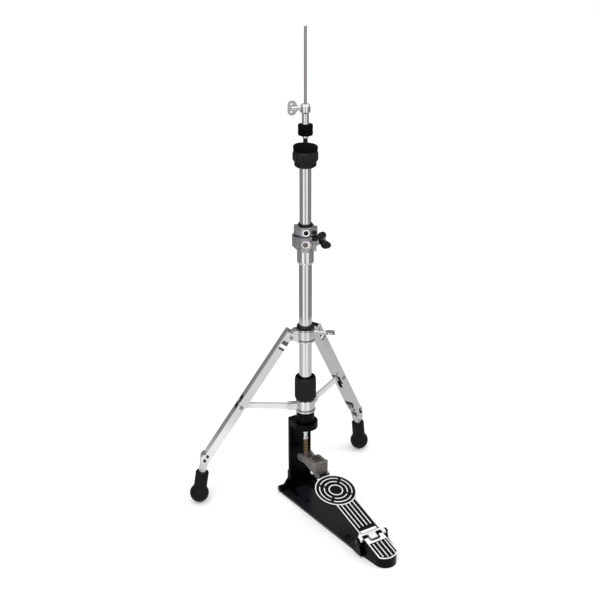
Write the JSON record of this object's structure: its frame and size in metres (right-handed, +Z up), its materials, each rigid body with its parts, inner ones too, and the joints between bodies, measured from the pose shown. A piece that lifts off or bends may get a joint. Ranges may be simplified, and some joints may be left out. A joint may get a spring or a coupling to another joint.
{
  "type": "hi hat stand",
  "caption": "Cymbal stand with a pole, sliding pull rod, clutch and felt seat over a pedal, on a base plate with folding braced legs and ball feet.",
  "frame": {"origin": "on the pole axis, on the underside of the base plate where it meets the floor", "axes": "+Z up along the pole, the heel end of the pedal towards -Y, the legs towards +X and -X"},
  "size_m": [0.4962, 0.469, 1.0885],
  "materials": {
    "chrome": "polished",
    "bright_alloy": "polished",
    "grey_cast": "bead blasted casting",
    "black_paint": "semi-gloss black",
    "black_grip": "fine black grip surface",
    "black_nylon": "satin",
    "black_felt": "pressed felt",
    "rubber": "matte",
    "satin_steel": "satin",
    "dark_steel": "blackened",
    "spring_steel": "bronze tinted wire"
  },
  "bodies": {
    "stand": {"base_plate": "black_paint", "base_screws": "dark_steel", "tower_casting": "black_paint", "rear_crossbar": "black_paint", "heel_base": "black_paint", "hinge_pedestals": "black_paint", "heel_hinge_pin": "chrome", "heel_frame": "bright_alloy", "heel_insert": "black_grip", "heel_ribs": "bright_alloy", "lower_tube": "chrome", "tube_sleeve": "chrome", "tube_bush": "black_nylon", "clamp_body": "grey_cast", "clamp_jaw": "grey_cast", "clamp_hinge_pin": "dark_steel", "clamp_pads": "black_nylon", "rod_guide": "chrome", "return_spring": "spring_steel"},
    "footboard": {"footboard": "black_grip", "footboard_ribs": "bright_alloy", "hinge_casting": "chrome", "toe_fork": "grey_cast", "toe_stop": "grey_cast"},
    "pull_rod": {"pull_rod_upper": "satin_steel", "pull_rod_lower": "satin_steel", "rod_coupler": "satin_steel", "rod_end": "satin_steel"},
    "upper_column": {"upper_tube": "chrome", "memory_lock": "grey_cast", "memory_lock_bush": "black_nylon", "memory_lock_bolts": "dark_steel", "seat_cone": "black_nylon", "seat_felt": "black_felt", "seat_spigot": "black_nylon"},
    "tilt_ring": {"tilt_ring": "black_nylon"},
    "clutch": {"clutch_body": "chrome", "clutch_felts": "black_felt", "clutch_nuts": "chrome"},
    "clutch_wing": {"clutch_wing_bolt": "chrome"},
    "clamp_wing": {"clamp_wing_bolt": "dark_steel"},
    "tension_grip": {"tension_grip": "black_nylon"},
    "collar": {"lower_collar": "chrome", "collar_pins": "chrome"},
    "hub": {"hub": "chrome", "hub_bush": "black_nylon", "hub_pins": "chrome"},
    "hub_wing": {"hub_wing_bolt": "chrome"},
    "brace_left": {"brace_left": "chrome"},
    "brace_right": {"brace_right": "chrome"},
    "leg_left": {"leg_left": "chrome", "leg_rivets_left": "chrome", "foot_bracket_left": "chrome", "foot_screws_left": "dark_steel", "rubber_foot_left": "rubber"},
    "leg_right": {"leg_right": "chrome", "leg_rivets_right": "chrome", "foot_bracket_right": "chrome", "foot_screws_right": "dark_steel", "rubber_foot_right": "rubber"}
  },
  "joints": [
    {"name": "footboard_hinge", "type": "hinge", "parent": "stand", "child": "footboard", "pos_m": [0, -0.268, 0.036], "axis": [1, 0, 0], "range_deg": [-10, 0], "stiffness_Nm_per_rad": 20, "springref_deg": 14.32},
    {"name": "rod_slide", "type": "slide", "parent": "stand", "child": "pull_rod", "axis": [0, 0, 1], "range_m": [-0.0477, 0], "deforming": ["return_spring"]},
    {"name": "height_adjust", "type": "slide", "parent": "stand", "child": "upper_column", "axis": [0, 0, 1], "range_m": [0, 0.14]},
    {"name": "seat_tilt_ring", "type": "hinge", "parent": "upper_column", "child": "tilt_ring", "pos_m": [0, 0, 0.822], "axis": [0, 0, 1], "continuous": true},
    {"name": "clutch_slide", "type": "slide", "parent": "upper_column", "child": "clutch", "axis": [0, 0, 1], "range_m": [0, 0.09]},
    {"name": "clutch_wing_turn", "type": "hinge", "parent": "clutch", "child": "clutch_wing", "pos_m": [-0.02239, 0.01418, 0.9225], "axis": [-0.8449, 0.5349, 0], "continuous": true},
    {"name": "clamp_wing_turn", "type": "hinge", "parent": "stand", "child": "clamp_wing", "pos_m": [0.01721, -0.01208, 0.629], "axis": [0.9951, 0.0986, 0], "continuous": true},
    {"name": "tension_grip_turn", "type": "hinge", "parent": "stand", "child": "tension_grip", "pos_m": [0, 0, 0.28], "axis": [0, 0, 1], "continuous": true},
    {"name": "tripod_swivel", "type": "hinge", "parent": "stand", "child": "collar", "pos_m": [0, 0, 0.235], "axis": [0, 0, 1], "range_deg": [-30, 30]},
    {"name": "tripod_fold", "type": "slide", "parent": "collar", "child": "hub", "axis": [0, 0, 1], "range_m": [0, 0.1283]},
    {"name": "hub_wing_turn", "type": "hinge", "parent": "hub", "child": "hub_wing", "pos_m": [0.04224, -0.02675, 0.416], "axis": [0.8449, -0.5349, 0], "continuous": true},
    {"name": "leg_left_fold", "type": "hinge", "parent": "hub", "child": "leg_left", "pos_m": [-0.02998, 0.01379, 0.412], "axis": [-0.4179, -0.9085, 0], "range_deg": [-0.05, 23.65]},
    {"name": "brace_left_fold", "type": "hinge", "parent": "collar", "child": "brace_left", "pos_m": [-0.03271, 0.01504, 0.235], "axis": [-0.4179, -0.9085, 0], "range_deg": [-67.25, 0.05]},
    {"name": "leg_right_fold", "type": "hinge", "parent": "hub", "child": "leg_right", "pos_m": [0.02998, 0.01379, 0.412], "axis": [-0.4179, 0.9085, 0], "range_deg": [-0.05, 23.65]},
    {"name": "brace_right_fold", "type": "hinge", "parent": "collar", "child": "brace_right", "pos_m": [0.03271, 0.01504, 0.235], "axis": [-0.4179, 0.9085, 0], "range_deg": [-67.25, 0.05]}
  ],
  "couplings": [
    {"joint": "rod_slide", "follows": "footboard_hinge", "m_per_rad": 0.2727},
    {"joint": "leg_left_fold", "follows": "tripod_fold", "rad_per_m": 3.2109},
    {"joint": "brace_left_fold", "follows": "tripod_fold", "rad_per_m": -9.1359},
    {"joint": "leg_right_fold", "follows": "tripod_fold", "rad_per_m": 3.2109},
    {"joint": "brace_right_fold", "follows": "tripod_fold", "rad_per_m": -9.1359}
  ]
}
